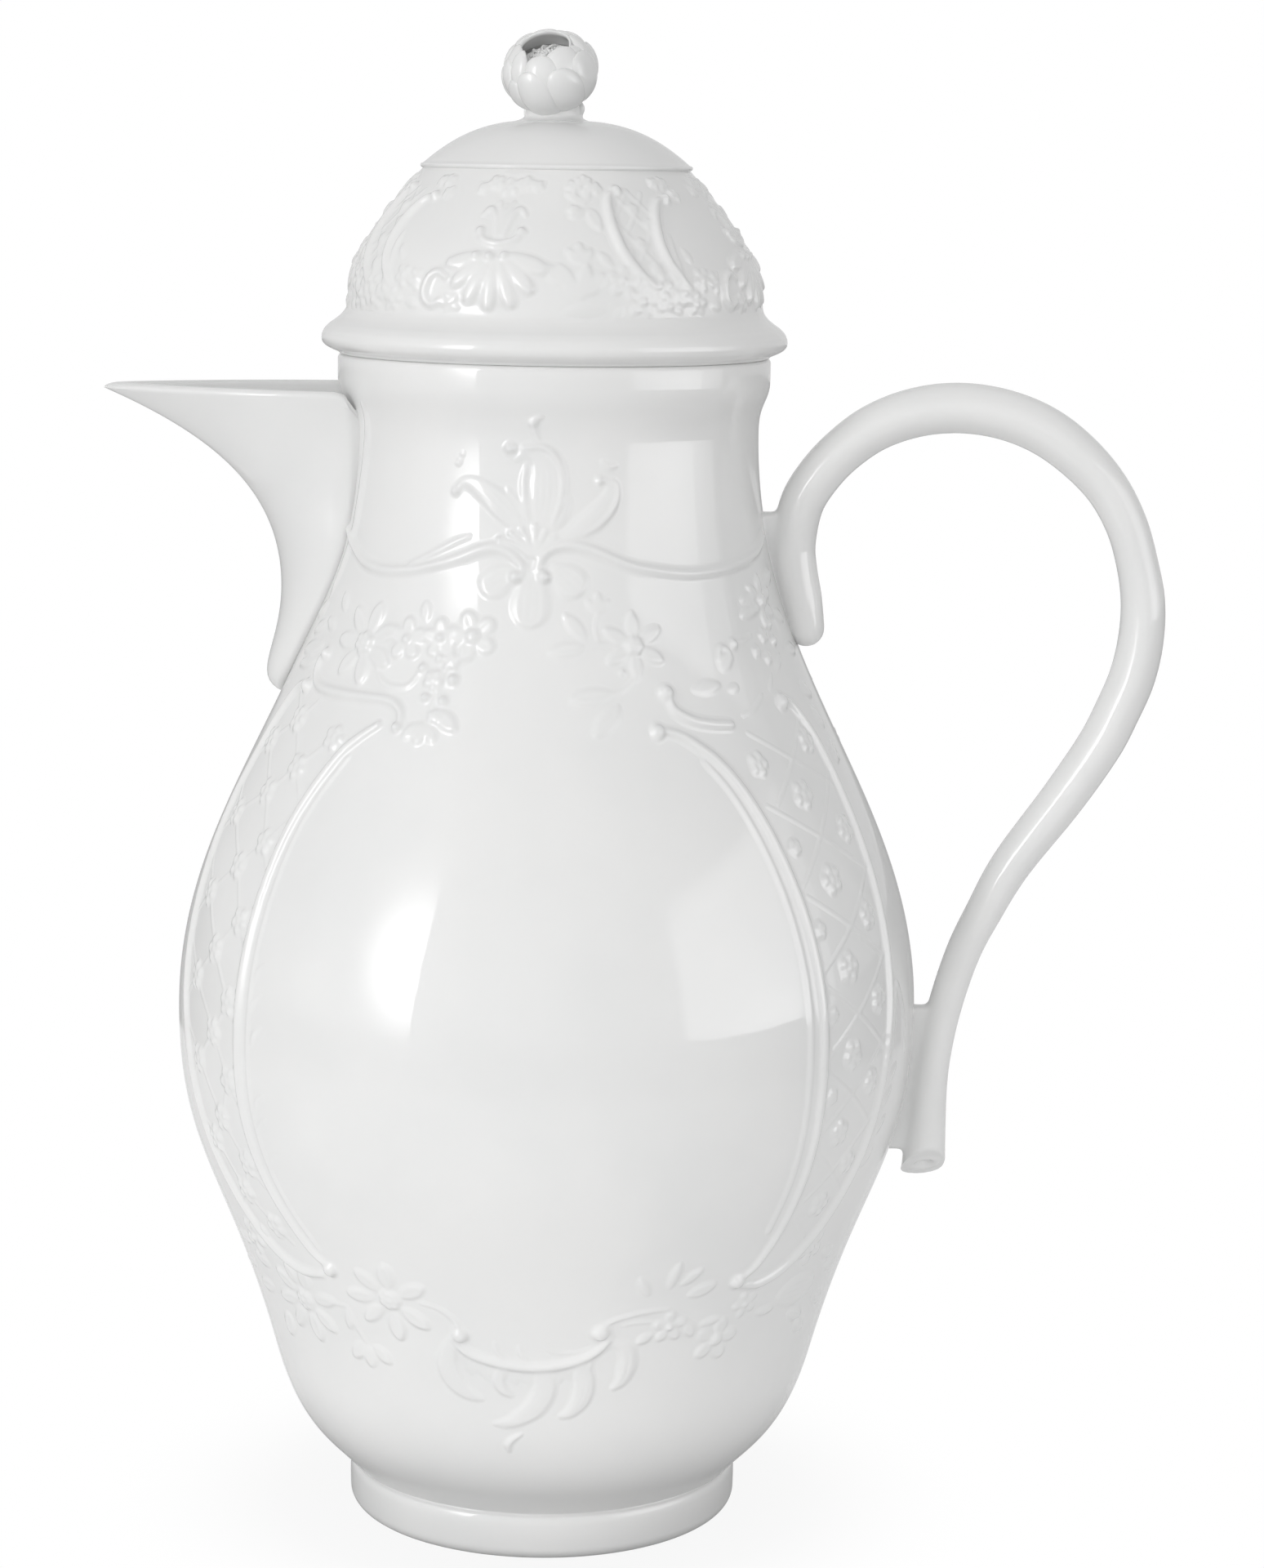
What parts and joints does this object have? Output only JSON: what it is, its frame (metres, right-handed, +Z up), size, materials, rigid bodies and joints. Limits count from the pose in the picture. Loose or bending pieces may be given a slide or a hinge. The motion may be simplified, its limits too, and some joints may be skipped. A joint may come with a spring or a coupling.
{
  "type": "coffee pot",
  "caption": "Tall pear-shaped white porcelain coffee pot with an open beak spout, a looped handle and a domed lid that lifts off by its rosebud knob.",
  "frame": {"origin": "centre of the standing ring, in the plane that rests on the table", "axes": "+Z up along the pot's axis, -X towards the tip of the beak spout, +X towards the handle, -Y towards the side seen with the spout on the left"},
  "size_m": [0.1776, 0.1248, 0.2501],
  "materials": {
    "glazed_porcelain": null,
    "lid_porcelain": null
  },
  "bodies": {
    "pot": {"pot_body": "glazed_porcelain", "beak_spout": "glazed_porcelain", "handle": "glazed_porcelain"},
    "lid": {"lid_dome": "lid_porcelain", "knob_stem": "lid_porcelain", "stem_sepals": "lid_porcelain", "bud_cup": "lid_porcelain", "outer_petals": "lid_porcelain", "middle_petals": "lid_porcelain", "inner_petals": "lid_porcelain", "stamens": "lid_porcelain"}
  },
  "joints": [
    {"name": "lid_lift", "type": "slide", "parent": "pot", "child": "lid", "axis": [0, 0, 1], "range_m": [0, 0.09]}
  ]
}
